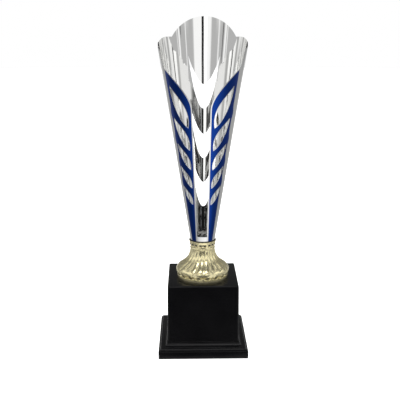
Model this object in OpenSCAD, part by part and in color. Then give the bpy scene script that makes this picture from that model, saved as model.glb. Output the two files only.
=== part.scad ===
// Award cup: a rolled, laser-cut sheet cone on a metallised riser and a stepped black base.
// +Z is up, the front (open side of the cone) faces -Y, the origin is the middle of the foot pad's underside.

/* [Base] */
// Side of the square plinth at the floor
plinth_w = 100; // [90:1:120]
// Side of the square block where it meets the plinth
block_w = 80; // [72:1:86]
// How far each side of the block leans in between its foot and its top
block_draft = 0.6; // [0:0.1:1.5]
// Height of the block's top face above the floor
block_top_z = 82.4; // [70:0.1:100]
// Wall of the black base mouldings
base_wall = 2.4; // [1.8:0.1:3]
// Thickness of the foot pad
pad_t = 1.2; // [1:0.1:1.5]

/* [Riser] */
// Radius of the widest band of the riser
riser_r = 30.2; // [28:0.1:32]
// Radius of the narrow waist below the collar
waist_r = 13.9; // [13.5:0.1:14.5]
// Radius of the collar's lip
lip_r = 15.5; // [15.3:0.1:16]
// Height of the collar's lip above the floor
lip_z = 124.6; // [124.3:0.1:125]
// Wall of the riser moulding
riser_wall = 1.6; // [1.2:0.1:1.8]

/* [Cone] */
// Height of the cone's bottom edge above the floor
cone_z0 = 121.5; // [121.4:0.1:121.6]
// Outer radius of the cone at its bottom edge
cone_r0 = 13.5; // [13.4:0.05:13.6]
// Radius gained for each millimetre of height
cone_slope = 0.158; // [0.15:0.001:0.165]
// How far the rolled sheet bellies out halfway up, beyond a straight cone
cone_belly = 0.2; // [0.1:0.05:0.3]
// Thickness of the sheet
sheet_t = 0.8; // [0.6:0.1:1]
// How far the cone is turned on its rod, seen from above
cup_turn = -3.5; // [-10:0.5:10]
// Height of the tall rear lobe's top above the floor
lobe_top_z = 371.3; // [368:0.1:374]
// Height of the two side lobes above the floor
side_lobe_z = 349; // [347:0.5:351]

/* [Front opening] */
// Half width of the slot at its foot
slot_foot = 5.6; // [5:0.1:6]
// Half width of the slot where it starts to flare
slot_head = 9.6; // [9:0.1:10]
// Height of the slot's foot above the floor
slot_z0 = 131; // [130:0.5:133]
// Height where the slot starts to flare
slot_z1 = 275; // [273:1:277]

/* [Laurel branches] */
// Each pierced leaf, top leaf first: heights of its outer tip and inner end, angle of that end from the front
leaf_levels = [[299, 256.5, 24], [265, 232, 24.5], [237, 210.5, 25.5], [212, 189.5, 26.5], [189.5, 170.2, 28.5]];
// Angle of the leaves' outer tips from the middle of the front
leaf_tip_turn = 54; // [53:0.5:55]
// Thickness of the blue lacquer coat
lacquer_t = 0.15; // [0.1:0.05:0.2]
// Bare metal left between the lacquer and the opening
slot_border = 1.3; // [1:0.1:1.6]
// Bare metal left around each pierced leaf
leaf_border = 0.6; // [0.4:0.1:0.8]

/* [Rod and fasteners] */
// Diameter of the threaded tie rod
rod_d = 6; // [6:1:6]
// Radius of the round ballast weight
weight_r = 35; // [30:1:36]
// Thickness of the ballast weight
weight_t = 8; // [5:0.5:10]

/* [Hidden] */

$fn = 96;
fit = 0.05;              // gap left between a bore and what passes through it
past = 1;                // how far a cutter runs past the face it cuts
curve_steps = 10;        // straight pieces in one drawn curve

// Heights, from the floor up
pad_proud = 0.5;
cover_z = pad_t;
cover_t = 2;
post_foot_z = cover_z + cover_t;
deck_t = 2.6;
deck_top_z = 17;
weight_z = 22;
boss_foot_z = weight_z + weight_t;
plate_t = 2;
ring_t = 1.5;
ring_z = cone_z0 - ring_t;
floor_t = 1.5;
floor_top_z = cone_z0 + floor_t;

// Sizes of bought fasteners
washer_t = 1.6;
nut_h = 5;
nut_af = 10;
rod_hole_r = rod_d / 2 + 0.2;
boss_r = rod_d / 2 + 2.6;
screw_r = 1.5;
screw_head_r = 2.9;
block_screw_at = 34;
cover_screw_at = 43;

// Outer radius of the rolled sheet at any height: a cone with a slight belly
belly_half = (lobe_top_z - cone_z0) / 2;
belly_z = cone_z0 + belly_half;
function cone_r(z) = cone_r0 + cone_slope * (z - cone_z0) + cone_belly * (1 - pow((z - belly_z) / belly_half, 2));
function cone_in(z) = cone_r(z) - sheet_t;

// A point on a cubic curve, and the curve as a list without its last point
function cubic(p, t) = pow(1 - t, 3) * p[0] + 3 * t * pow(1 - t, 2) * p[1]
                       + 3 * t * t * (1 - t) * p[2] + pow(t, 3) * p[3];
function curve(p, steps = curve_steps) = [for (i = [0 : steps - 1]) cubic(p, i / steps)];
function mirrored(points) = [for (i = [len(points) - 1 : -1 : 0]) [-points[i][0], points[i][1]]];

// ---- outlines, seen from the front: [distance from the middle, height] ----

// Right-hand edge of the front opening, from the slot's foot to past the side of the cone.
// inset moves the edge outwards from the opening
rim_z = 340;
flare = [38.4, 316];
function opening_edge() = concat(
    [[slot_foot, slot_z0]],
    curve([[slot_head, slot_z1], [slot_head + 0.6, slot_z1 + 12], [20, 298], flare]),
    curve([flare, [44.5, 322], [41.5, rim_z - 1], [50, rim_z]]),
    [[70, rim_z]]);

module opening_outline() {
    edge = opening_edge();
    polygon(concat(edge, [[70, 400], [-70, 400]], mirrored(edge)));
}

// Right-hand edge of the rear rim: a rounded side lobe, then the round rear lobe
lobe_foot = 35.6;
side_lobe_x = 48;
side_lobe_round = 7;
lobe_rise = lobe_top_z - side_lobe_z;
lobe_round = (lobe_foot * lobe_foot + lobe_rise * lobe_rise) / (2 * lobe_rise);
lobe_spread = asin(lobe_foot / lobe_round);
function rear_edge() = concat(
    [[70, rim_z], [side_lobe_x, rim_z]],
    [for (a = [0 : 15 : 90]) [side_lobe_x - side_lobe_round * (1 - cos(a)),
                              side_lobe_z - side_lobe_round * (1 - sin(a))]],
    [for (i = [0 : curve_steps - 1]) let (a = lobe_spread * (1 - i / curve_steps))
        [lobe_round * sin(a), lobe_top_z - lobe_round * (1 - cos(a))]]);

module rear_rim_outline() {
    edge = rear_edge();
    polygon(concat(edge, [[0, lobe_top_z]], mirrored(edge), [[-70, 400], [70, 400]]));
}

// A crescent cut in the rear wall: two bowed edges that meet at two tips
// [lowest point, lowest point of the tongue above, tip's distance, tip's height]
crescents = [[269, 296, 18, 328], [213.5, 240.5, 16.5, 276], [158.5, 186, 14.5, 219]];
function bowed(low, tip_x, tip_z, power) =
    [for (i = [-curve_steps : curve_steps]) let (u = i / curve_steps)
        [u * tip_x, low + (tip_z - low) * pow(abs(u), power)]];

module crescent_outline(c) {
    below = bowed(c[0], c[2], c[3], 2.1);
    above = bowed(c[1], c[2], c[3], 1.7);
    polygon(concat(below, [for (i = [len(above) - 2 : -1 : 1]) above[i]]));
}

// A leaf: a straight-backed blade with a full inner shoulder. grow moves its outline outwards
function leaf_outline(level, grow) =
    let (tip0 = [cone_r(level[0]) * sin(leaf_tip_turn), level[0]],
         end0 = [cone_r(level[1]) * sin(level[2]), level[1]],
         long = norm(end0 - tip0),
         along = (end0 - tip0) / long,
         side = [along[1], -along[0]],
         tip = tip0 - 2.5 * grow * along,
         end = end0 + 2 * grow * along,
         shoulder = [tip, tip0 + (0.243 * along + 0.03 * side) * long + grow * side,
                     tip0 + (0.63 * along + 0.255 * side) * long + 1.5 * grow * side, end],
         back = [end, tip0 + (0.828 * along - 0.132 * side) * long - 1.2 * grow * side,
                 tip0 + (0.292 * along - 0.107 * side) * long - 1.2 * grow * side, tip])
    concat(curve(shoulder), curve(back));

// Outer edge of a blue branch: it follows a ruling of the cone and swells at the foot of each leaf
branch_top = [39.1, 315.5];
branch_foot_z = 125.8;
branch_turn_top = 61.5;
branch_turn_foot = 52;
branch_lean = (branch_turn_top - branch_turn_foot) / (300 - branch_foot_z);
swell = 0.8;
swell_above_tip = 5.5;
swell_half = 9;
function branch_turn(z) = branch_turn_foot + branch_lean * (z - branch_foot_z);
function swelling(z) = swell * max([for (i = [1 : len(leaf_levels) - 1])
    pow(cos(90 * min(1, abs(z - leaf_levels[i][0] - swell_above_tip) / swell_half)), 2)]);
function branch_edge_x(z) = cone_r(z) * sin(branch_turn(z)) + swelling(z);

module branch_outline() {
    b = slot_border;
    top_z = branch_top[1] - 6;
    inner = concat([[slot_foot + b, branch_foot_z]],
        curve([[slot_head + b, slot_z1], [slot_head + b + 0.6, slot_z1 + 11.4],
               [20 + 0.7 * b, 298 - 0.8 * b], branch_top]));
    outer = [for (i = [0 : 46]) let (z = top_z + (branch_foot_z - top_z) * i / 46) [branch_edge_x(z), z]];
    polygon(concat(inner, [branch_top], outer));
}

// Stand an outline up as a cutter through the front (side = -1) or the rear (side = 1)
module through_wall(side) {
    mirror([0, side > 0 ? 1 : 0, 0]) rotate([90, 0, 0]) linear_extrude(70) children();
}

// ---- the cup ----

// The bellied wall, between two offsets from the sheet's outer face. Every wall changes slope at the same heights
band_h = 20;
module cup_wall(inner_gap, outer_gap, low, high) {
    heights = concat([low], [for (z = [cone_z0 + band_h : band_h : high - 1]) if (z > low + 1) z], [high]);
    outside = [for (z = heights) [cone_r(z) + outer_gap, z]];
    inside = [for (i = [len(heights) - 1 : -1 : 0]) [cone_r(heights[i]) + inner_gap, heights[i]]];
    rotate_extrude($fn = 180) polygon(concat(outside, inside));
}

module cup_shell() {
    color("silver") rotate([0, 0, cup_turn]) difference() {
        cup_wall(-sheet_t, 0, cone_z0, lobe_top_z + 2);
        through_wall(-1) opening_outline();
        through_wall(1) rear_rim_outline();
        for (c = crescents) through_wall(1) crescent_outline(c);
        for (level = leaf_levels) {
            through_wall(-1) polygon(leaf_outline(level, 0));
            mirror([1, 0, 0]) through_wall(-1) polygon(leaf_outline(level, 0));
        }
    }
}

// The coat of blue lacquer on one branch, bare around the leaves and along the opening
module laurel_branch() {
    intersection() {
        cup_wall(0, lacquer_t, branch_foot_z - past, branch_top[1] + past);
        through_wall(-1) difference() {
            branch_outline();
            for (level = leaf_levels) polygon(leaf_outline(level, leaf_border));
        }
    }
}

module laurel_right() {
    color("royalblue") rotate([0, 0, cup_turn]) laurel_branch();
}

module laurel_left() {
    color("navy") rotate([0, 0, cup_turn]) mirror([1, 0, 0]) laurel_branch();
}

// Disc pressed into the foot of the cone
module cup_floor() {
    color("gainsboro") difference() {
        translate([0, 0, cone_z0]) cylinder(h = floor_t, r1 = cone_in(cone_z0), r2 = cone_in(floor_top_z));
        translate([0, 0, cone_z0 - past]) cylinder(h = floor_t + 2 * past, r = rod_hole_r);
    }
}

// ---- bought fasteners ----

module plain_washer(r, t, z) {
    translate([0, 0, z]) difference() {
        cylinder(h = t, r = r);
        translate([0, 0, -past]) cylinder(h = t + 2 * past, r = rod_hole_r);
    }
}

module hex_nut(z) {
    translate([0, 0, z]) difference() {
        intersection() {
            cylinder(h = nut_h, r = nut_af / sqrt(3), $fn = 6);
            cylinder(h = nut_h, r1 = nut_af / sqrt(3) + nut_h - 0.8, r2 = nut_af / sqrt(3) - 0.8);
        }
        translate([0, 0, -past]) cylinder(h = nut_h + 2 * past, r = rod_d / 2 + fit);
    }
}

module cup_washer() {
    color("silver") plain_washer(6, washer_t, floor_top_z);
}

module cup_nut() {
    color("silver") hex_nut(floor_top_z + washer_t);
}

rod_top_z = floor_top_z + washer_t + nut_h + 1.5;
rod_foot_z = 9;

module tie_rod() {
    chamfer = 0.8;
    color("darkgray") rotate_extrude() polygon([[0, rod_foot_z], [rod_d / 2 - chamfer, rod_foot_z],
        [rod_d / 2, rod_foot_z + chamfer], [rod_d / 2, rod_top_z - chamfer],
        [rod_d / 2 - chamfer, rod_top_z], [0, rod_top_z]]);
}

rod_washer_z = weight_z - washer_t;
spring_t = 1.6;
spring_z = rod_washer_z - spring_t;
rod_nut_z = spring_z - nut_h;

module rod_washer() {
    color("silver") plain_washer(12, washer_t, rod_washer_z);
}

// Split lock washer, pressed flat
module spring_washer() {
    color("dimgray") difference() {
        plain_washer(5.4, spring_t, spring_z);
        translate([0, -0.6, spring_z - past]) cube([8, 1.2, spring_t + 2 * past]);
    }
}

module rod_nut() {
    color("silver") hex_nut(rod_nut_z);
}

// ---- the riser ----

// Rubber ring that seats the cone in the collar and shows as a black line around its foot
module seat_ring() {
    ring_top = lip_z + 1;
    color("black") rotate_extrude() polygon([[rod_hole_r + 1, ring_z], [lip_r - 0.7, ring_z],
        [lip_r - 0.7, ring_top - 0.3], [lip_r - 1, ring_top], [cone_r(ring_top), ring_top],
        [cone_r(cone_z0), cone_z0], [rod_hole_r + 1, cone_z0]]);
}

foot_r = riser_r - 1.2;
bell_foot = [riser_r - 0.7, 92.6];
bell_head = [14.1, 115.3];
bell_pull = [[riser_r - 3.2, 98.6], [14.8, 98.6]];
function bell(gap) = curve([bell_foot - [gap, 0], bell_pull[0] - [gap, gap], bell_pull[1] - [gap, gap],
                            bell_head - [gap, 0]], 14);
function collar(gap) = curve([[waist_r - gap, 117.2], [waist_r - gap, 119.5], [lip_r - 0.5 - gap, 121.5],
                              [lip_r - gap, lip_z]]);

module riser() {
    w = riser_wall;
    head_z = ring_z - plate_t;
    outside = concat([[foot_r, block_top_z], [foot_r, block_top_z + 2.2], [foot_r - 1.2, block_top_z + 2.9],
                      [foot_r - 1.2, block_top_z + 3.8], [riser_r - 0.5, block_top_z + 4.6],
                      [riser_r, block_top_z + 5.8], [riser_r, block_top_z + 8.2]],
                     bell(0), [bell_head, bell_head + [0.4, 0.6], bell_head + [0, 1.2]],
                     collar(0), [[lip_r, lip_z], [lip_r - 0.7, lip_z], [lip_r - 0.7, ring_z]]);
    hollow = concat([[waist_r - w - 1, head_z], [waist_r - w - 1, bell_head[1] + 2]],
                    [for (i = [13 : -1 : 0]) bell(w)[i]],
                    [[foot_r - w - 1.2, block_top_z + 6], [foot_r - w - 1.2, block_top_z]]);
    color("darkkhaki") difference() {
        rotate_extrude() polygon(concat([[0, block_top_z]], outside, [[0, ring_z]]));
        rotate_extrude() polygon(concat([[boss_r, head_z]], hollow, [[foot_r - w - 1.2, block_top_z - past],
                                         [boss_r, block_top_z - past]]));
        translate([0, 0, block_top_z - past]) cylinder(h = ring_z - block_top_z + 2 * past, r = rod_hole_r);
    }
}

// ---- the base ----

// A solid with the same front and side profile, mitred at its corners
module mitred(half_w) {
    intersection() {
        rotate([90, 0, 0]) translate([0, 0, -half_w]) linear_extrude(2 * half_w) children();
        rotate([90, 0, 90]) translate([0, 0, -half_w]) linear_extrude(2 * half_w) children();
    }
}

// Square with true round corners
module rounded_square(side, r) {
    square([side - 2 * r, side], center = true);
    square([side, side - 2 * r], center = true);
    for (x = [-1, 1], y = [-1, 1]) translate([x * (side / 2 - r), y * (side / 2 - r)]) circle(r, $fn = 48);
}

block_edge_r = 1.6;
block_h = block_top_z - deck_top_z;
module block_profile() {
    foot = block_w / 2;
    top = foot - block_draft;
    r = block_edge_r;
    right = concat([[foot, deck_top_z]],
        [for (a = [0 : 15 : 90]) [top - r * (1 - cos(a)), block_top_z - r * (1 - sin(a))]]);
    polygon(concat(right, mirrored(right)));
}

// What is cut away to round the block's four leaning corners
block_corner_r = 2;
corner_lean = atan(block_draft * sqrt(2) / block_h);
module corner_cutters() {
    r = block_corner_r;
    for (a = [0 : 90 : 270]) rotate([0, 0, a]) translate([block_w / 2, block_w / 2, deck_top_z])
        rotate([0, 0, 45]) rotate([0, -corner_lean, 0]) rotate([0, 0, -45])
        translate([-r, -r, -past]) linear_extrude(block_h + 2 * past) difference() {
            square(2 * r);
            circle(r + fit, $fn = 48);
        }
}

module at_corners(distance) {
    for (x = [-1, 1], y = [-1, 1]) translate([x * distance, y * distance, 0]) children();
}

module base_block() {
    hollow_w = block_w - 2 * block_draft - 2 * base_wall;
    hollow_top = block_top_z - base_wall;
    color([0.09, 0.09, 0.1]) difference() {
        union() {
            difference() {
                mitred(block_w) block_profile();
                corner_cutters();
                translate([-hollow_w / 2, -hollow_w / 2, deck_top_z - past])
                    cube([hollow_w, hollow_w, hollow_top - deck_top_z + past]);
            }
            translate([0, 0, boss_foot_z]) cylinder(h = hollow_top - boss_foot_z + past, r = boss_r + 1.5);
            at_corners(block_screw_at) translate([0, 0, deck_top_z]) cylinder(h = 26, r = 3.6);
            for (a = [0 : 90 : 270]) rotate([0, 0, a])
                translate([boss_r, -0.8, hollow_top - 12]) cube([hollow_w / 2 - boss_r + past, 1.6, 12 + past]);
        }
        cylinder(h = block_top_z + past, r = rod_hole_r);
        at_corners(block_screw_at) translate([0, 0, deck_top_z - past]) cylinder(h = 14, r = screw_r + fit);
    }
}

// Profile of the stepped plinth: a plain band, a step with a round, then a cove up to the block
module plinth_profile() {
    w = plinth_w / 2;
    seat = block_w / 2 + 0.4;
    band_top = 9.4;
    bead_r = 2.3;
    bead_x = w - 1.6;
    cove_x = bead_x - bead_r - 0.8;
    cove_z = band_top + bead_r + 0.5;
    right = concat([[w, pad_proud], [w, band_top - 0.8], [w - 0.3, band_top - 0.3], [w - 0.8, band_top]],
        [for (a = [0 : 15 : 90]) [bead_x - bead_r * (1 - cos(a)), band_top + bead_r * sin(a)]],
        [[cove_x, band_top + bead_r]],
        [for (a = [0 : 15 : 75]) [cove_x - (cove_x - seat) * sin(a),
                                  cove_z + (deck_top_z - 0.6 - cove_z) * (1 - cos(a))]],
        [[seat, deck_top_z - 0.6], [seat, deck_top_z]]);
    polygon(concat(right, mirrored(right)));
}

module square_hole(half, low, high) {
    translate([-half, -half, low]) cube([2 * half, 2 * half, high - low]);
}

module base_plinth() {
    w = plinth_w / 2;
    deck_low = deck_top_z - deck_t;
    color([0.09, 0.09, 0.1]) difference() {
        union() {
            difference() {
                mitred(w) plinth_profile();
                square_hole(w - base_wall, -past, 7);
                square_hole(w - 8.5, 6, 11.4);
                square_hole(w - 12, 10, deck_low);
            }
            at_corners(cover_screw_at) translate([0, 0, post_foot_z]) cylinder(h = 8 - post_foot_z, r = 3.6);
        }
        translate([0, 0, deck_low - past]) cylinder(h = deck_t + 2 * past, r = 26);
        at_corners(block_screw_at) translate([0, 0, deck_low - past])
            cylinder(h = deck_t + 2 * past, r = screw_r + 0.2);
        at_corners(cover_screw_at) cylinder(h = 10, r = screw_r + fit);
    }
}

// Pan-head screw standing on its head, head below z = 0
module pan_screw(long) {
    cylinder(h = long, r = screw_r);
    translate([0, 0, -1.8]) difference() {
        cylinder(h = 1.8, r = screw_head_r);
        for (a = [0, 90]) rotate([0, 0, a]) translate([-1.6, -0.4, -past]) cube([3.2, 0.8, past + 0.8]);
    }
}

// Countersunk screw whose head is flush with z = 0
module flat_screw(long) {
    difference() {
        union() {
            cylinder(h = long, r = screw_r);
            cylinder(h = screw_head_r - screw_r, r1 = screw_head_r, r2 = screw_r);
        }
        for (a = [0, 90]) rotate([0, 0, a]) translate([-1.6, -0.4, -past]) cube([3.2, 0.8, past + 0.7]);
    }
}

module block_screws() {
    color("silver") at_corners(block_screw_at) translate([0, 0, deck_top_z - deck_t]) pan_screw(12);
}

module cover_screws() {
    color("silver") at_corners(cover_screw_at) translate([0, 0, cover_z]) flat_screw(8);
}

module weight_plate() {
    color("slategray") plain_washer(weight_r, weight_t, weight_z);
}

module bottom_cover() {
    half = plinth_w / 2 - base_wall - 0.3;
    color([0.15, 0.15, 0.16]) difference() {
        square_hole(half, cover_z, cover_z + cover_t);
        at_corners(cover_screw_at) translate([0, 0, cover_z - past]) cylinder(h = cover_t + 2 * past,
                                                                              r = screw_r + 0.2);
        at_corners(cover_screw_at) translate([0, 0, cover_z])
            cylinder(h = screw_head_r - screw_r, r1 = screw_head_r + fit, r2 = screw_r + fit);
    }
}

module foot_pad() {
    color([0.2, 0.2, 0.2]) linear_extrude(pad_t) rounded_square(plinth_w - 2 * base_wall - 2, 3);
}

cup_shell();
laurel_left();
laurel_right();
cup_floor();
cup_nut();
cup_washer();
seat_ring();
riser();
tie_rod();
base_block();
base_plinth();
block_screws();
weight_plate();
rod_washer();
spring_washer();
rod_nut();
bottom_cover();
cover_screws();
foot_pad();
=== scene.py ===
import math

import bmesh
import bpy
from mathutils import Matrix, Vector


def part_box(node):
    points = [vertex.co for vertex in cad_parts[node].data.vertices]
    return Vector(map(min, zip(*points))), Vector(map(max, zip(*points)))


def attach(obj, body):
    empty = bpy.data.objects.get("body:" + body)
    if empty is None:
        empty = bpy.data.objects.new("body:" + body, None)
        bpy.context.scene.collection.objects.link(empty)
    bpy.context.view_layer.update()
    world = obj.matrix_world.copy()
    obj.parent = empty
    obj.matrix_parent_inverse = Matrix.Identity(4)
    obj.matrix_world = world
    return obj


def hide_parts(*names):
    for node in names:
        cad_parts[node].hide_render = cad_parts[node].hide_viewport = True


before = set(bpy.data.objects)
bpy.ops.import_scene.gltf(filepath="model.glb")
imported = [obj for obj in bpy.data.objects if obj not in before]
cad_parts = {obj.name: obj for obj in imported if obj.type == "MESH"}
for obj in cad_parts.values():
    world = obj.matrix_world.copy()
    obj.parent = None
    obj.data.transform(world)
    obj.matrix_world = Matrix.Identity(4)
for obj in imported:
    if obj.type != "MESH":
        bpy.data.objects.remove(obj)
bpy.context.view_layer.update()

# Award cup: a rolled sheet cone on a gold riser and a black stepped base.
# Lengths are metres. Angles are degrees, apart from what a bpy call takes and a shader's arctangent gives.

MM = 0.001


# ---------------------------------------------------------------- shader helpers

class Value:
    """One output of a shader node. Arithmetic on it adds Math nodes."""

    def __init__(self, finish, socket):
        self.finish = finish
        self.socket = socket

    def maths(self, operation, first, second):
        return self.finish.node("Math", {"operation": operation}, {0: first, 1: second})

    def __add__(self, other):
        return self.maths("ADD", self, other)

    def __radd__(self, other):
        return self.maths("ADD", other, self)

    def __sub__(self, other):
        return self.maths("SUBTRACT", self, other)

    def __rsub__(self, other):
        return self.maths("SUBTRACT", other, self)

    def __mul__(self, other):
        return self.maths("MULTIPLY", self, other)

    def __rmul__(self, other):
        return self.maths("MULTIPLY", other, self)


class Finish:
    """A material or a world built from nodes round one shader, whose node's name is given."""

    def __init__(self, name, shader="Principled BSDF", **constants):
        blocks = bpy.data.worlds if shader == "Background" else bpy.data.materials
        self.material = blocks.new(name)
        self.material.use_nodes = True
        self.tree = self.material.node_tree
        self.shader = self.tree.nodes[shader]
        self.set(**constants)

    def feed(self, node, socket, value):
        """Sets one input socket to a number, colour or link."""
        if isinstance(value, Value):
            self.tree.links.new(value.socket, node.inputs[socket])
        else:
            node.inputs[socket].default_value = value

    def node(self, kind, settings=None, sockets=None, output=0):
        """Adds a node, sets it up, feeds its sockets and returns one output."""
        made = self.tree.nodes.new("ShaderNode" + kind)
        for key, value in (settings or {}).items():
            setattr(made, key, value)
        for socket, value in (sockets or {}).items():
            self.feed(made, socket, value)
        return Value(self, made.outputs[output])

    def place(self):
        """Object coordinates, in metres."""
        return self.node("TexCoord", output="Object")

    def split(self, vector):
        """The X, Y and Z of a vector."""
        made = self.node("SeparateXYZ", sockets={0: vector})
        return [Value(self, out) for out in made.socket.node.outputs]

    def join(self, x, y, z):
        return self.node("CombineXYZ", sockets={0: x, 1: y, 2: z})

    def noise(self, vector, scale, detail=3.0, roughness=0.5):
        return self.node("TexNoise", sockets={"Vector": vector, "Scale": scale, "Detail": detail,
                                              "Roughness": roughness})

    def between(self, value, low, high):
        """A 0 to 1 value spread from low to high."""
        return self.node("MapRange", sockets={0: value, 3: low, 4: high})

    def rise(self, value, start, end, low=0.0, high=1.0):
        """Eases from low to high as value goes from start to end."""
        return self.node("MapRange", {"interpolation_type": "SMOOTHSTEP"},
                         {0: value, 1: start, 2: end, 3: low, 4: high})

    def band(self, value, start, end, soft):
        """1 from start to end and 0 outside, with soft edges."""
        opens = self.rise(value, start - soft, start + soft)
        closes = self.rise(value, end - soft, end + soft, 1.0, 0.0)
        return opens * closes

    def blend(self, factor, first, second):
        """A number between two numbers."""
        return first + factor * (second - first)

    def mix(self, factor, first, second):
        """A colour between two colours."""
        return self.node("Mix", {"data_type": "RGBA"}, {0: factor, 6: first, 7: second}, output=2)

    def bump(self, height, strength, distance):
        return self.node("Bump", sockets={"Height": height, "Strength": strength, "Distance": distance})

    def set(self, **inputs):
        """Feeds the shader's own sockets, whose names are given with _ for a space."""
        for socket, value in inputs.items():
            self.feed(self.shader, socket.replace("_", " "), value)
        return self.material


# ---------------------------------------------------------------- mesh helpers

def deselect():
    if bpy.context.mode != "OBJECT":
        bpy.ops.object.mode_set(mode="OBJECT")
    bpy.ops.object.select_all(action="DESELECT")


def choose(piece):
    """Makes one object the active and only selected one."""
    deselect()
    piece.select_set(True)
    bpy.context.view_layer.objects.active = piece


def added(name):
    """Names the object that an operator has just added."""
    piece = bpy.context.object
    piece.name = name
    piece.data.name = name
    return piece


def edit(piece):
    choose(piece)
    bpy.ops.object.mode_set(mode="EDIT")
    bpy.ops.mesh.select_all(action="DESELECT")


def leave():
    bpy.ops.object.mode_set(mode="OBJECT")


def pick(piece, what, test):
    """Selects the edges or faces of the piece in edit mode that pass a test."""
    bpy.ops.mesh.select_mode(type={"edges": "EDGE", "faces": "FACE"}[what])
    mesh = bmesh.from_edit_mesh(piece.data)
    for element in getattr(mesh, what):
        element.select_set(bool(test(element)))
    bmesh.update_edit_mesh(piece.data)


def apply(piece, kind, **settings):
    """Adds one modifier and applies it."""
    choose(piece)
    modifier = piece.modifiers.new(kind.lower(), kind)
    for key, value in settings.items():
        setattr(modifier, key, value)
    bpy.ops.object.modifier_apply(modifier=modifier.name)


def join(pieces, name):
    """Makes one object of several."""
    choose(pieces[0])
    for piece in pieces[1:]:
        piece.select_set(True)
    if len(pieces) > 1:
        bpy.ops.object.join()
    return added(name)


def outward(piece):
    """Closes the seam that a spin leaves and turns every face outwards."""
    edit(piece)
    bpy.ops.mesh.select_all(action="SELECT")
    bpy.ops.mesh.remove_doubles(threshold=1e-6)
    bpy.ops.mesh.normals_make_consistent(inside=False)
    leave()


def smooth(piece, angle=30):
    choose(piece)
    bpy.ops.object.shade_smooth_by_angle(angle=math.radians(angle))


def reshape(piece, move):
    """Moves every vertex: move takes its place and returns the new one."""
    for vertex in piece.data.vertices:
        vertex.co = move(vertex.co)
    piece.data.update()


def finished(piece, node, material):
    """Hands a finished piece to the frame in place of its CAD node."""
    piece.data.materials.clear()
    piece.data.materials.append(material)
    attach(piece, "root")
    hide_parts(node)


def plate(name, outline, near, far):
    """A solid standing on a front-view outline of (x, z) points, from y = near to y = far."""
    deselect()
    bpy.ops.mesh.primitive_circle_add(vertices=len(outline), radius=1, fill_type="NGON")
    solid = added(name)
    for vertex, (x, z) in zip(solid.data.vertices, outline):
        vertex.co = (x, near, z)
    edit(solid)
    bpy.ops.mesh.select_all(action="SELECT")
    bpy.ops.mesh.extrude_region_move(TRANSFORM_OT_translate={"value": (0, far - near, 0)})
    leave()
    outward(solid)
    return solid


def carve(piece, cutter, operation="DIFFERENCE"):
    """Cuts the cutter out of the piece, or keeps only what they share, and deletes the cutter."""
    apply(piece, "BOOLEAN", object=cutter, operation=operation, solver="EXACT")
    bpy.data.objects.remove(cutter)


def turned(profile, name, steps, closed=False):
    """A body of revolution: profile is a list of (radius, z)."""
    deselect()
    bpy.ops.mesh.primitive_circle_add(vertices=len(profile), radius=1, fill_type="NOTHING")
    piece = added(name)
    for vertex, (radius, z) in zip(piece.data.vertices, profile):
        vertex.co = (0, -radius, z)
    edit(piece)
    if not closed:
        last = len(profile) - 1
        pick(piece, "edges", lambda e: {v.index for v in e.verts} == {0, last})
        bpy.ops.mesh.delete(type="EDGE_FACE")
    bpy.ops.mesh.select_all(action="SELECT")
    bpy.ops.mesh.spin(steps=steps, angle=math.tau, center=(0, 0, 0), axis=(0, 0, 1))
    leave()
    outward(piece)
    return piece


# ---------------------------------------------------------------- outlines of the cup

# The cone, in its own axes before it is turned on the rod
cup_low, cup_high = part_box("cup_shell")
CONE_FOOT = cup_low[2]
CONE_FOOT_R = 13.5 * MM
CONE_SLOPE = 0.158
CONE_BELLY = 0.2 * MM
SHEET = 0.8 * MM
LOBE_TOP = cup_high[2]
CUP_TURN = -3.5

SIDE_LOBE = 349 * MM
RIM = 340 * MM
SLOT_FOOT = (5.6 * MM, 131 * MM)
SLOT_HEAD = (9.6 * MM, 275 * MM)
FLARE = (38.4 * MM, 316 * MM)
BEYOND = 70 * MM
SKY = 400 * MM

# Each pierced leaf's outer tip height, inner end height and inner end angle, top leaf first
LEAVES = [(299, 256.5, 24), (265, 232, 24.5), (237, 210.5, 25.5), (212, 189.5, 26.5), (189.5, 170.2, 28.5)]
LEAF_TIP_TURN = 54

# Rear cut-outs: lowest point, lowest point of the tongue above, and the tips' distance and height
CRESCENTS = [(269, 296, 18, 328), (213.5, 240.5, 16.5, 276), (158.5, 186, 14.5, 219)]

BRANCH_TIP = (39.1 * MM, 315.5 * MM)
BRANCH_FOOT = 125.8 * MM
BRANCH_TURN_FOOT = 52
BRANCH_TURN_TOP = 61.5
LACQUER = 0.15 * MM
SLOT_BORDER = 1.3 * MM
LEAF_BORDER = 0.6 * MM
SWELLING = 0.8 * MM
# Below this height the cut edges get a painted highlight colour
EDGE_HIGHLIGHT_TOP = 325 * MM


def cone_r(z):
    """Outer radius of the rolled sheet: a cone that bellies out a little halfway up."""
    half = (LOBE_TOP - CONE_FOOT) / 2
    return CONE_FOOT_R + CONE_SLOPE * (z - CONE_FOOT) + CONE_BELLY * (1 - ((z - CONE_FOOT) / half - 1) ** 2)


def sin_deg(angle):
    return math.sin(math.radians(angle))


def cos_deg(angle):
    return math.cos(math.radians(angle))


def bow(a, b, c, d, steps=14):
    """A cubic curve through (x, z) points a and d, pulled by b and c, without its last point."""
    points = []
    for i in range(steps):
        t = i / steps
        weights = ((1 - t) ** 3, 3 * t * (1 - t) ** 2, 3 * t * t * (1 - t), t ** 3)
        points.append(tuple(sum(w * p[k] for w, p in zip(weights, (a, b, c, d))) for k in (0, 1)))
    return points


def both_sides(edge, closing):
    """An outline that is the same on both sides: edge on the right, then closing, then edge mirrored."""
    return edge + closing + [(-x, z) for x, z in reversed(edge)]


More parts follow.
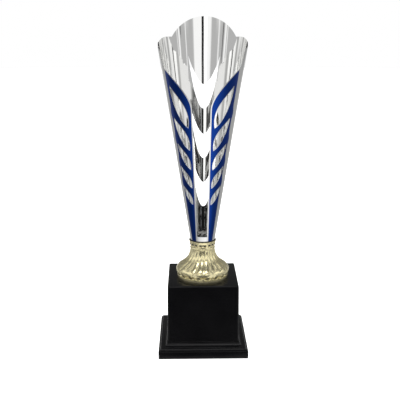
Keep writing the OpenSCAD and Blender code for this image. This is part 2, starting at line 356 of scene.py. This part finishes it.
def opening_outline():
    """The Y-shaped front opening, up past the side of the cone."""
    edge = [SLOT_FOOT]
    edge += bow(SLOT_HEAD, (SLOT_HEAD[0] + 0.6 * MM, SLOT_HEAD[1] + 12 * MM), (20 * MM, 298 * MM), FLARE)
    edge += bow(FLARE, (44.5 * MM, 322 * MM), (41.5 * MM, RIM - 1 * MM), (50 * MM, RIM))
    edge += [(BEYOND, RIM)]
    return both_sides(edge, [(BEYOND, SKY), (-BEYOND, SKY)])


def rear_rim_outline():
    """Everything above the rear rim: two rounded side lobes and the tall round rear lobe."""
    side_x, corner, foot = 48 * MM, 7 * MM, 35.6 * MM
    rise = LOBE_TOP - SIDE_LOBE
    round_r = (foot ** 2 + rise ** 2) / (2 * rise)
    spread = math.degrees(math.asin(foot / round_r))
    edge = [(BEYOND, RIM), (side_x, RIM)]
    edge += [(side_x - corner * (1 - cos_deg(a)), SIDE_LOBE - corner * (1 - sin_deg(a)))
             for a in range(0, 91, 9)]
    lobe_angles = [spread * (1 - i / 20) for i in range(20)]
    edge += [(round_r * sin_deg(a), LOBE_TOP - round_r * (1 - cos_deg(a))) for a in lobe_angles]
    sides = both_sides(edge, [(0, LOBE_TOP)])
    return sides + [(-BEYOND, SKY), (BEYOND, SKY)]


def crescent_outline(low, tongue, tip_x, tip_z, steps=16):
    """A crescent between two bowed edges that meet at its tips."""
    across = [i / steps for i in range(-steps, steps + 1)]
    below = [(u * tip_x * MM, (low + (tip_z - low) * abs(u) ** 2.1) * MM) for u in across]
    above = [(u * tip_x * MM, (tongue + (tip_z - tongue) * abs(u) ** 1.7) * MM) for u in across]
    return below + above[-2:0:-1]


def leaf_outline(level, grow=0.0):
    """A pierced leaf with a full inner shoulder and a long straight back. grow moves its edge outwards."""
    tip_z, end_z = level[0] * MM, level[1] * MM
    tip = Vector((cone_r(tip_z) * sin_deg(LEAF_TIP_TURN), tip_z))
    end = Vector((cone_r(end_z) * sin_deg(level[2]), end_z))
    run = end - tip
    along = run.normalized()
    side = Vector((along.y, -along.x))

    def at(far, out, push):
        return tip + (far * along + out * side) * run.length + push * grow * side

    far_tip = tip - 2.5 * grow * along
    far_end = end + 2 * grow * along
    shoulder = bow(far_tip, at(0.243, 0.03, 1), at(0.63, 0.255, 1.5), far_end)
    back = bow(far_end, at(0.828, -0.132, -1.2), at(0.292, -0.107, -1.2), far_tip)
    return shoulder + back


def branch_edge_x(z):
    """Outer edge of a branch: a ruling of the cone that swells at the foot of each leaf."""
    lean = (BRANCH_TURN_TOP - BRANCH_TURN_FOOT) / (300 * MM - BRANCH_FOOT)
    turn = BRANCH_TURN_FOOT + lean * (z - BRANCH_FOOT)
    swelling = 0.0
    for tip_z, _, _ in LEAVES[1:]:
        away = min(1.0, abs(z - (tip_z + 5.5) * MM) / (9 * MM))
        swelling = max(swelling, SWELLING * cos_deg(90 * away) ** 2)
    return cone_r(z) * sin_deg(turn) + swelling


def branch_outline(steps=80):
    """The whole of a blue branch, before its leaves are pierced."""
    head = (SLOT_HEAD[0] + SLOT_BORDER, SLOT_HEAD[1])
    pull = (head[0] + 0.6 * MM, head[1] + 11.4 * MM)
    inner = [(SLOT_FOOT[0] + SLOT_BORDER, BRANCH_FOOT)]
    inner += bow(head, pull, (20 * MM + 0.7 * SLOT_BORDER, 298 * MM - 0.8 * SLOT_BORDER), BRANCH_TIP)
    top = BRANCH_TIP[1] - 6 * MM
    heights = [top + (BRANCH_FOOT - top) * i / steps for i in range(steps + 1)]
    return inner + [BRANCH_TIP] + [(branch_edge_x(z), z) for z in heights]


# ---------------------------------------------------------------- the cup

def cone_wall(name, inside, outside, low, high, around, rings):
    """A closed conical wall between two offsets from the cone's outer face."""
    heights = [low + (high - low) * i / rings for i in range(rings + 1)]
    profile = [(cone_r(z) + outside, z) for z in heights]
    profile += [(cone_r(z) + inside, z) for z in reversed(heights)]
    return turned(profile, name, around, closed=True)


def true_up(piece, inside, outside):
    """Puts every vertex of a cut wall back on the true cone and gives both faces the cone's own normals."""
    middle = (inside + outside) / 2

    def settle(place):
        radius = math.hypot(place.x, place.y)
        off = radius - cone_r(place.z)
        wanted = cone_r(place.z) + (outside if off > middle else inside)
        near = min(abs(off - inside), abs(off - outside))
        if near > 0.05 * MM:
            return place
        return Vector((place.x * wanted / radius, place.y * wanted / radius, place.z))

    reshape(piece, settle)
    mesh = piece.data
    normals = [Vector((0, 0, 0))] * len(mesh.loops)
    for face in mesh.polygons:
        centre = face.center
        radial = Vector((centre.x, centre.y, 0)).normalized()
        facing = face.normal.dot(radial)
        if abs(facing) < 0.8:
            continue
        for loop in face.loop_indices:
            place = mesh.vertices[mesh.loops[loop].vertex_index].co
            radial = Vector((place.x, place.y, 0)).normalized()
            normals[loop] = math.copysign(1, facing) * (radial - Vector((0, 0, CONE_SLOPE))).normalized()
    mesh.normals_split_custom_set(normals)


def turn_cup(piece):
    """Turns a piece about the rod to the way the cup stands."""
    c, s = cos_deg(CUP_TURN), sin_deg(CUP_TURN)
    reshape(piece, lambda p: Vector((c * p.x - s * p.y, s * p.x + c * p.y, p.z)))


def paint_edge_highlight(piece, material):
    """Paints a highlight on the sheet's cut edges, which face neither in nor out, below the side lobes: they
    get their own pale finish that stands in for the light catching them.
    """
    piece.data.materials.append(material)
    for face in piece.data.polygons:
        radial = Vector((face.center.x, face.center.y, 0)).normalized()
        if abs(face.normal.dot(radial)) < 0.5 and face.center.z < EDGE_HIGHLIGHT_TOP:
            face.material_index = 1


def cup_shell(material, edge_highlight_material):
    """The rolled sheet: a conical wall with its opening, rim, crescents and leaves cut through it."""
    wall = cone_wall("cup_sheet", -SHEET, 0, CONE_FOOT, LOBE_TOP + 1 * MM, 240, 20)
    carve(wall, plate("opening_cutter", opening_outline(), -BEYOND, 0))
    carve(wall, plate("rim_cutter", rear_rim_outline(), -0.1 * MM, BEYOND))
    holes = [plate("crescent_cutter", crescent_outline(*c), 0, BEYOND) for c in CRESCENTS]
    for level in LEAVES:
        outline = leaf_outline(level)
        holes.append(plate("leaf_cutter", outline, -BEYOND, 0))
        holes.append(plate("leaf_cutter", [(-x, z) for x, z in outline], -BEYOND, 0))
    carve(wall, join(holes, "hole_cutters"))
    smooth(wall)
    turn_cup(wall)
    true_up(wall, -SHEET, 0)
    finished(wall, "cup_shell", material)
    # The cut edges get a painted highlight colour
    paint_edge_highlight(wall, edge_highlight_material)


def laurel(name, side, material):
    """The coat of lacquer on one branch. side is 1 on the right and -1 on the left."""
    coat = cone_wall(name + "_coat", 0, LACQUER, BRANCH_FOOT - 1 * MM, BRANCH_TIP[1] + 1 * MM, 240, 16)
    branch = plate("branch_form", [(side * x, z) for x, z in branch_outline()], -BEYOND, 0)
    for level in LEAVES:
        outline = [(side * x, z) for x, z in leaf_outline(level, LEAF_BORDER)]
        carve(branch, plate("leaf_cutter", outline, -BEYOND - 1 * MM, 1 * MM))
    carve(coat, branch, "INTERSECT")
    smooth(coat)
    turn_cup(coat)
    true_up(coat, 0, LACQUER)
    finished(coat, name, material)


# ---------------------------------------------------------------- the riser

riser_low, riser_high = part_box("riser")
FLUTES = 18
RISER_FOOT = riser_low[2]
RISER_LIP = riser_high[2]
RISER_R = riser_high[0]
WAIST_R = 13.9 * MM
LIP_R = 15.5 * MM
COLLAR_FLOOR = 120 * MM
ROD_HOLE_R = 4 * MM
FLUTE_TWIST = 20
RIM_MIDDLE = RISER_FOOT + 7.4 * MM
SKIRT_MIDDLE = RISER_FOOT + 3.8 * MM
NICK_MIDDLE = 119.1 * MM
BELL_HEAD = (14.1 * MM, 115.3 * MM)
BELL_FOOT = (RISER_R - 0.7 * MM, 92.6 * MM)


def riser_profile():
    """The riser from its foot up the outside to the lip, then the collar's inside: (radius, z).

    It is one skin, open underneath where it stands on the block.
    """
    foot = RISER_R - 1.2 * MM
    rim = [(foot, RISER_FOOT + dz * MM) for dz in (0, 0.7, 1.4, 2.0)]
    rim += [(foot - 0.4 * MM, RISER_FOOT + 2.2 * MM), (foot - 0.5 * MM, RISER_FOOT + 2.4 * MM)]
    rim += [(foot - 0.5 * MM + 1.2 * MM * i / 8, RISER_FOOT + (2.4 + 2.8 * i / 8) * MM) for i in range(1, 9)]
    rim += [(RISER_R, RISER_FOOT + dz * MM) for dz in (5.9, 6.7, 7.5, 8.2)]
    rim += bow((RISER_R - 0.1 * MM, RISER_FOOT + 8.8 * MM), (RISER_R - 0.2 * MM, RISER_FOOT + 9.4 * MM),
               (RISER_R - 0.5 * MM, RISER_FOOT + 9.9 * MM), BELL_FOOT, 3)
    bell = bow(BELL_FOOT, (RISER_R - 3.2 * MM, 98.6 * MM), (14.8 * MM, 98.6 * MM), BELL_HEAD, 44)
    ridge = [BELL_HEAD, (BELL_HEAD[0] + 0.3 * MM, 115.7 * MM), (BELL_HEAD[0] + 0.35 * MM, 116.0 * MM),
             (BELL_HEAD[0] + 0.2 * MM, 116.3 * MM), (BELL_HEAD[0] - 0.1 * MM, 116.6 * MM)]
    collar = bow((WAIST_R, 117.0 * MM), (WAIST_R, 119.5 * MM),
                 (LIP_R - 0.6 * MM, 121.5 * MM), (LIP_R, RISER_LIP), 22)
    lip = [(LIP_R, RISER_LIP - 0.25 * MM), (LIP_R - 0.1 * MM, RISER_LIP), (LIP_R - 0.6 * MM, RISER_LIP),
           (LIP_R - 0.7 * MM, RISER_LIP - 0.2 * MM), (LIP_R - 0.7 * MM, COLLAR_FLOOR),
           (ROD_HOLE_R, COLLAR_FLOOR)]
    return rim + bell + ridge + collar + lip


def wave(angle):
    """A row of rounded ribs with a sharp groove between each pair: 0 in a groove, 1 on a rib."""
    return abs(math.sin(math.radians(FLUTES * angle / 2)))


def bump_at(value, middle, half):
    """1 at the middle, 0 beyond half either way, smooth between."""
    away = min(1.0, abs(value - middle) / half)
    return cos_deg(90 * away) ** 2


def off_rib(angle):
    """How far an angle is from the middle of its rib: 0 in the middle, 1 at the groove."""
    return abs((FLUTES * angle / 360) % 1 - 0.5) * 2


def flute_depth(angle, z):
    """The bell's spiral flutes, deeper towards its foot."""
    if not BELL_FOOT[1] - 0.5 * MM < z < BELL_HEAD[1]:
        return 0.0
    down = min(1.0, max(0.0, (BELL_HEAD[1] - z) / (BELL_HEAD[1] - BELL_FOOT[1])))
    rib = wave(angle + FLUTE_TWIST * down ** 0.8)
    ends = min(1.0, down / 0.12, (1.03 - down) / 0.10)
    deepest = (0.4 + 0.6 * down) * MM
    return deepest * max(0.0, ends) * (1 - rib) ** 1.3


def scallop_depth(angle, z):
    """The scallops along the rim."""
    if not RISER_FOOT + 5.0 * MM < z < BELL_FOOT[1] + 0.4 * MM:
        return 0.0
    return 0.45 * MM * (1 - wave(angle + FLUTE_TWIST)) * bump_at(z, RIM_MIDDLE, 3.4 * MM)


def skirt_depth(angle, z):
    """The pointed hollows under the rim."""
    point = 1 - off_rib(angle + FLUTE_TWIST)
    return 3.0 * MM * bump_at(z, SKIRT_MIDDLE, 2.0 * MM) * max(0.0, 0.8 - point)


def nick_depth(angle, z):
    """The row of nicks round the collar."""
    return 1.2 * MM * bump_at(z, NICK_MIDDLE, 1.3 * MM) * max(0.0, 1 - off_rib(angle) / 0.5)


def flute(place):
    """Presses the flutes, scallops, skirt and nicks into the riser's outside."""
    radius = math.hypot(place.x, place.y)
    if radius < 10 * MM or place.z > RISER_LIP - 1 * MM:
        return place
    angle = math.degrees(math.atan2(place.x, -place.y))
    pressed = 0.0
    for depth in (flute_depth, scallop_depth, skirt_depth, nick_depth):
        pressed += depth(angle, place.z)
    grown = (radius - pressed) / radius
    return Vector((place.x * grown, place.y * grown, place.z))


def riser(material):
    """The bell-shaped moulding under the cup."""
    piece = turned(riser_profile(), "riser_moulding", FLUTES * 14)
    reshape(piece, flute)
    smooth(piece, 40)
    finished(piece, "riser", material)


# ---------------------------------------------------------------- the base

block_low, block_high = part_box("base_block")
plinth_low, plinth_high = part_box("base_plinth")
BASE_WALL = 2.4 * MM
UNDERSIDE_DEPTH = 6 * MM


def lofted(name, profile):
    """A square solid raised step by step: profile is a list of (half width, z), from the foot up."""
    deselect()
    half, z = profile[0]
    bpy.ops.mesh.primitive_plane_add(size=2 * half, location=(0, 0, z))
    piece = added(name)
    bpy.ops.object.transform_apply(location=True, scale=True)
    edit(piece)
    bpy.ops.mesh.select_all(action="SELECT")
    for new_half, new_z in profile[1:]:
        bpy.ops.mesh.extrude_region_move(TRANSFORM_OT_translate={"value": (0, 0, new_z - z)})
        scale = new_half / half
        bpy.ops.transform.resize(value=(scale, scale, 1), center_override=(0, 0, new_z))
        half, z = new_half, new_z
    leave()
    outward(piece)
    return piece


def base_block(material):
    """The block: four leaning sides, soft edges, open underneath."""
    foot, top = block_high[0], block_high[0] - 0.6 * MM
    piece = lofted("block_moulding", [(foot, block_low[2]), (top, block_high[2])])
    edit(piece)
    pick(piece, "edges", lambda e: max(v.co.z for v in e.verts) > block_low[2] + 1 * MM)
    bpy.ops.mesh.bevel(offset=1.8 * MM, segments=6, profile=0.5, affect="EDGES")
    pick(piece, "faces", lambda f: f.calc_center_median().z < block_low[2] + 0.1 * MM and f.normal.z < -0.9)
    bpy.ops.mesh.delete(type="FACE")
    leave()
    apply(piece, "SOLIDIFY", thickness=BASE_WALL, offset=-1)
    smooth(piece)
    finished(piece, "base_block", material)


def plinth_profile():
    """Half widths and heights of the plinth: an upright band, a quarter-round bead and a cove."""
    w = plinth_high[0]
    seat = block_high[0] + 0.4 * MM
    top = plinth_high[2]
    band = 9.4 * MM
    bead = 2.3 * MM
    bead_x = w - 1.6 * MM
    cove_x = bead_x - bead - 0.8 * MM
    cove_z = band + bead + 0.5 * MM
    profile = [(w, plinth_low[2]), (w, band - 0.8 * MM), (w - 0.1 * MM, band - 0.45 * MM),
               (w - 0.35 * MM, band - 0.15 * MM), (w - 0.8 * MM, band), (bead_x + 0.05 * MM, band)]
    profile += [(bead_x - bead * (1 - cos_deg(a)), band + bead * sin_deg(a)) for a in range(8, 91, 8)]
    profile += [(cove_x, band + bead), (cove_x, cove_z)]
    profile += [(cove_x - (cove_x - seat) * sin_deg(a), cove_z + (top - 0.6 * MM - cove_z) * (1 - cos_deg(a)))
                for a in range(9, 91, 9)]
    return profile + [(seat, top)]


def base_plinth(material):
    """The stepped plinth, hollow underneath inside its wall."""
    piece = lofted("plinth_moulding", plinth_profile())
    edit(piece)
    under = plinth_low[2] + 0.1 * MM
    pick(piece, "faces", lambda f: abs(f.normal.z) > 0.99 and f.calc_center_median().z < under)
    bpy.ops.mesh.inset(thickness=BASE_WALL)
    bpy.ops.mesh.extrude_region_move(TRANSFORM_OT_translate={"value": (0, 0, UNDERSIDE_DEPTH)})
    leave()
    apply(piece, "BEVEL", width=0.5 * MM, segments=3, limit_method="ANGLE", angle_limit=math.radians(80))
    smooth(piece, 25)
    finished(piece, "base_plinth", material)


# ---------------------------------------------------------------- finishes

def chrome_sheet():
    """Mirror plating on rolled sheet, with faint flats along its rulings and a soft haze."""
    f = Finish("chrome_sheet", Metallic=1.0)
    x, y, z = f.split(f.place())
    turn = f.node("Math", {"operation": "ARCTAN2"}, {0: x, 1: y})
    rulings = f.noise(f.join(turn * 5.0, z * 1.5, 0.0), 1.0, 4.0, 0.6)
    haze = f.noise(f.place(), 60.0, 4.0)
    f.set(Base_Color=f.mix(haze, (0.85, 0.85, 0.84, 1), (0.905, 0.905, 0.895, 1)),
          Roughness=f.between(haze, 0.02, 0.06),
          Normal=f.bump(rulings, 0.1, 0.0008))
    return f.material


def edge_painted_highlight():
    """Painted highlight on the cut sheet's edge: a pale satin colour with a bluish cast, standing in for the
    light and sheen caught on the edge. It is only partly metallic, to stay pale.
    """
    f = Finish("edge_painted_highlight", Metallic=0.25)
    grain = f.noise(f.place(), 900.0, 3.0)
    f.set(Base_Color=f.mix(grain, (0.74, 0.82, 0.90, 1), (0.88, 0.93, 0.97, 1)),
          Roughness=f.between(grain, 0.3, 0.45))
    return f.material


def blue_lacquer():
    """Deep blue lacquer on bright metal."""
    f = Finish("blue_lacquer", Metallic=1.0, Coat_Roughness=0.05)
    depth = f.noise(f.place(), 45.0, 3.0)
    f.set(Base_Color=f.mix(depth, (0.001, 0.036, 0.26, 1), (0.002, 0.058, 0.40, 1)),
          Roughness=f.between(depth, 0.12, 0.2),
          Coat_Weight=0.2)
    return f.material


def gold_plastic():
    """Vacuum-metallised pale gold with a fine orange peel."""
    f = Finish("gold_plastic", Metallic=0.87)
    peel = f.noise(f.place(), 900.0, 2.0)
    tone = f.noise(f.place(), 70.0, 3.0)
    f.set(Base_Color=f.mix(tone, (0.78, 0.69, 0.38, 1), (0.90, 0.83, 0.54, 1)),
          Roughness=f.between(tone, 0.10, 0.20),
          Normal=f.bump(peel, 0.08, 0.0002))
    return f.material


def black_plastic():
    """Gloss black moulding with slight sinks and dust-dulled patches."""
    f = Finish("black_plastic", Specular_IOR_Level=0.2)
    dull = f.noise(f.place(), 35.0, 5.0)
    sink = f.noise(f.place(), 16.0, 1.0)
    f.set(Base_Color=f.mix(dull, (0.0012, 0.0012, 0.0015, 1), (0.003, 0.003, 0.0035, 1)),
          Roughness=f.between(dull, 0.16, 0.30),
          Normal=f.bump(sink, 0.25, 0.0006))
    return f.material


def rubber():
    """Dull black rubber."""
    f = Finish("black_rubber")
    grain = f.noise(f.place(), 1200.0, 3.0)
    f.set(Base_Color=f.mix(grain, (0.006, 0.006, 0.006, 1), (0.014, 0.014, 0.014, 1)),
          Roughness=f.between(grain, 0.55, 0.75), Normal=f.bump(grain, 0.2, 0.0001))
    return f.material


def steel(name, dark, light, low, high, grain_scale):
    """Plated or blackened steel with fine tool marks."""
    f = Finish(name, Metallic=1.0)
    grain = f.noise(f.place(), grain_scale, 4.0)
    f.set(Base_Color=f.mix(grain, (*dark, 1), (*light, 1)), Roughness=f.between(grain, low, high),
          Normal=f.bump(grain, 0.15, 0.0001))
    return f.material


def cover_board():
    """Black hardboard."""
    f = Finish("cover_board")
    grain = f.noise(f.place(), 500.0, 5.0)
    f.set(Base_Color=f.mix(grain, (0.018, 0.018, 0.018, 1), (0.03, 0.03, 0.03, 1)),
          Roughness=f.between(grain, 0.45, 0.65), Normal=f.bump(grain, 0.3, 0.0002))
    return f.material


def felt():
    """Black felt with short fibres."""
    f = Finish("pad_felt", Sheen_Weight=0.3)
    fibres = f.noise(f.place(), 1500.0, 6.0, 0.7)
    f.set(Base_Color=f.mix(fibres, (0.008, 0.008, 0.01, 1), (0.03, 0.03, 0.034, 1)),
          Roughness=0.95, Normal=f.bump(fibres, 0.6, 0.0004))
    return f.material


def dress(node, material):
    """Gives a CAD node that stays as it is its finish."""
    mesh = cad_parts[node].data
    mesh.materials.clear()
    mesh.materials.append(material)


# ---------------------------------------------------------------- studio

def floor():
    """White paper that glows, so that it stays white. It isn't seen in reflections."""
    deselect()
    bpy.ops.mesh.primitive_circle_add(vertices=96, radius=6, fill_type="NGON", location=(0, 0, 0))
    ground = added("floor")
    f = Finish("floor_paper", Roughness=0.7, Specular_IOR_Level=0.1, Emission_Color=(1, 1, 1, 1),
               Emission_Strength=0.9)
    f.set(Base_Color=f.mix(f.noise(f.place(), 3.0), (0.88, 0.88, 0.88, 1), (0.9, 0.9, 0.9, 1)))
    ground.data.materials.append(f.material)
    ground.visible_glossy = False


# The tent's brightness is 1 where it is plain white. In the next functions turn is the angle from the
# tent's front, positive to the right, aside is turn without its sign, and lift is the angle above the
# horizon.

def tent_walls(f, turn, aside, lift):
    """Bright in front, grey beside, dark behind, with pale strips, two dark gaps and white panels."""
    front, beside, behind = 1.05, 0.5, 0.14
    pale, bright, left_gap, right_gap = 1.0, 1.5, 0.12, 0.15
    walls = f.blend(f.rise(aside, 21, 26), front, beside)
    for start, end in ((43, 46), (61, 66), (69, 71)):
        walls = f.blend(f.band(aside, start, end, 1), walls, pale)
    walls = f.blend(f.band(turn, -57.5, -55.5, 0.8) * f.rise(lift, 13, 14), walls, left_gap)
    walls = f.blend(f.band(turn, 57.5, 60, 0.8) * f.rise(lift, 15, 15.6), walls, right_gap)
    walls = f.blend(f.band(aside, 38, 104, 5) * f.band(lift, 18, 34, 2), walls, pale)
    walls = f.blend(f.band(aside, 8, 20, 4) * f.band(lift, 24, 34, 2), walls, bright)
    return f.blend(f.rise(aside, 105, 125), walls, behind)


def tent_ceiling(f, direction, turn, lift):
    """Patches of light and dark, nearly black overhead, with one soft box in it."""
    x, y, z = direction
    overhead, soft_box = 0.012, 3.8
    clutter = f.noise(f.join(x * 7.0, y * 7.0, z), 1.0, 2.0)
    ceiling = f.rise(clutter, 0.46, 0.54, 0.03, 0.7)
    ceiling = f.blend(f.rise(lift, 62, 70), ceiling, overhead)
    return f.blend(f.band(lift, 56, 82, 2) * f.band(turn, -32, 24, 3), ceiling, soft_box)


def tent_table(f, turn, aside):
    """The table below: white in front, greyer beside, a little brighter on the right, white behind."""
    front, beside, far_side, behind = 0.95, 0.24, 0.38, 1.15
    table = f.blend(f.rise(aside, 20, 85), front, beside) * f.rise(turn, -70, 70, 0.8, 1.25)
    table = f.blend(f.rise(aside, 108, 128), table, far_side)
    return f.blend(f.rise(aside, 148, 162), table, behind)


def tent_front(f, level, turn, aside, lift):
    """Lays over the tent a dark doorway, a dark apron below it, two strips and a dark slit between them."""
    dark_apron, bright_strip, dim_strip, slit = 0.02, 1.2, 0.35, 0.01
    door = (1 - f.rise(aside, 33, 38)) * f.band(lift, -19, 11.8, 1.2)
    level = f.blend(door, level, f.rise(lift, 6, 12, 0.009, 0.09))
    apron = (1 - f.rise(aside, 16, 26)) * f.band(lift, -33, -17, 2)
    level = f.blend(apron, level, dark_apron)
    level = f.blend(f.band(turn, -13.5, -4, 0.8) * f.rise(lift, 5, 6), level, bright_strip)
    level = f.blend(f.band(turn, 1.2, 5, 1.0) * f.band(lift, 6, 12, 0.5), level, dim_strip)
    return f.blend(f.band(turn, -4.0, 1.3, 0.4) * f.rise(lift, 4, 5), level, slit)


def light_tent():
    """The world: a tent that lights the object and shows in its reflections. The camera sees plain white."""
    f = Finish("light_tent", "Background", Color=(1, 1, 1, 1))
    x, y, z = f.split(f.node("TexCoord", output="Generated"))
    degree = 180 / math.pi
    turn = f.node("Math", {"operation": "ARCTAN2"}, {0: x, 1: 0.0 - y}) * degree
    lift = f.node("Math", {"operation": "ARCSINE"}, {0: z}) * degree
    aside = f.node("Math", {"operation": "ABSOLUTE"}, {0: turn})

    walls = tent_walls(f, turn, aside, lift)
    upper = f.blend(f.rise(lift, 32, 42), walls, tent_ceiling(f, (x, y, z), turn, lift))
    level = f.blend(f.rise(lift, -10, -1), tent_table(f, turn, aside), upper)
    level = tent_front(f, level, turn, aside, lift)
    seen = f.node("LightPath", output="Is Camera Ray")
    level = f.blend(seen, level, 1.0)
    f.set(Strength=level)
    bpy.context.scene.world = f.material


def lamp(name, place, aim, size, power):
    """A soft rectangular lamp that isn't seen in reflections."""
    deselect()
    bpy.ops.object.light_add(type="AREA", location=place)
    light = bpy.context.object
    light.name = name
    light.data.shape = "RECTANGLE"
    light.data.size, light.data.size_y = size
    light.data.energy = power
    light.visible_glossy = False
    light.rotation_euler = (Vector(aim) - Vector(place)).to_track_quat("-Z", "Y").to_euler()


CAMERA_AWAY = 0.7507
CAMERA_ACROSS = -0.0172
CAMERA_HEIGHT = 0.3563
CAMERA_TILT = 13.9
CAMERA_SWING = -1.09
CAMERA_LENS = 61.9


def camera():
    deselect()
    bpy.ops.object.camera_add(location=(CAMERA_ACROSS, -CAMERA_AWAY, CAMERA_HEIGHT),
                              rotation=(math.radians(90 - CAMERA_TILT), 0, math.radians(CAMERA_SWING)))
    bpy.context.object.data.lens = CAMERA_LENS
    bpy.context.object.data.sensor_width = 36
    bpy.context.scene.camera = bpy.context.object


# ---------------------------------------------------------------- build

camera()
floor()
light_tent()
lamp("key_panel", (-0.9, -0.5, 1.0), (0, 0, 0.2), (0.7, 0.9), 15)
lamp("fill_panel", (0.9, -0.4, 0.8), (0, 0, 0.2), (0.5, 0.9), 11)
bpy.context.scene.view_settings.view_transform = "Standard"

chrome = chrome_sheet()
lacquer = blue_lacquer()
black = black_plastic()
zinc = steel("zinc_steel", (0.30, 0.30, 0.29), (0.46, 0.46, 0.45), 0.22, 0.38, 700)

# The cut edges' finish is a painted highlight, pale and bluish
cup_shell(chrome, edge_painted_highlight())
laurel("laurel_left", -1, lacquer)
laurel("laurel_right", 1, lacquer)
riser(gold_plastic())
base_block(black)
base_plinth(black)

dress("cup_floor", chrome)
dress("seat_ring", rubber())
for node in ("cup_nut", "cup_washer", "tie_rod", "rod_washer", "rod_nut", "block_screws", "cover_screws"):
    dress(node, zinc)
dress("spring_washer", steel("spring_steel", (0.05, 0.05, 0.055), (0.1, 0.1, 0.11), 0.3, 0.5, 500))
dress("weight_plate", steel("cast_weight", (0.12, 0.12, 0.125), (0.2, 0.2, 0.21), 0.5, 0.8, 260))
dress("bottom_cover", cover_board())
dress("foot_pad", felt())
